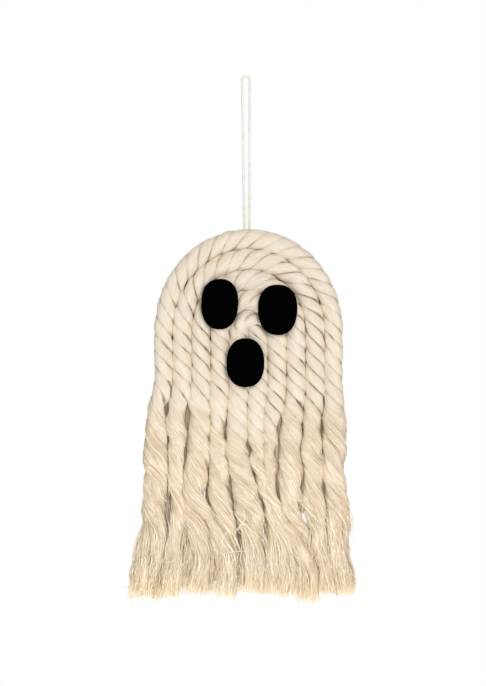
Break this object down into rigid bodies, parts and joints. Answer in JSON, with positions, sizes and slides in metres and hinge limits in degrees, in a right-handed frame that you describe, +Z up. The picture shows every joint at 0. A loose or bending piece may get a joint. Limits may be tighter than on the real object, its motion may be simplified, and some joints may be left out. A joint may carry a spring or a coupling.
{
  "type": "hanging rope ghost decoration",
  "caption": "Hanging ghost of nested thick rope arches that end in a brushed fringe, with felt eyes and mouth on the front and a thin cord loop at the top.",
  "frame": {"origin": "inside the top of the cord loop, where a nail or hook carries the part, in the loop's own plane", "axes": "+Z up, -Y towards the viewer (the felt face is on the -Y side), +X to the viewer's right"},
  "size_m": [0.1402, 0.0197, 0.3335],
  "materials": {
    "cotton_rope": "natural unbleached cotton, matt and fibrous",
    "black_felt": "matt black felt",
    "white_felt": "matt off-white felt",
    "white_cord": "matt twisted cotton"
  },
  "bodies": {
    "root": {"rope_1_strand_a": "cotton_rope", "rope_1_strand_b": "cotton_rope", "rope_1_strand_c": "cotton_rope", "rope_2_strand_a": "cotton_rope", "rope_2_strand_b": "cotton_rope", "rope_2_strand_c": "cotton_rope", "rope_3_strand_a": "cotton_rope", "rope_3_strand_b": "cotton_rope", "rope_3_strand_c": "cotton_rope", "rope_4_strand_a": "cotton_rope", "rope_4_strand_b": "cotton_rope", "rope_4_strand_c": "cotton_rope", "rope_5_strand_a": "cotton_rope", "rope_5_strand_b": "cotton_rope", "rope_5_strand_c": "cotton_rope", "left_eye": "black_felt", "right_eye": "black_felt", "mouth": "black_felt", "felt_backing": "white_felt", "loop_patch": "white_felt", "hanging_loop": "white_cord"}
  },
  "joints": []
}
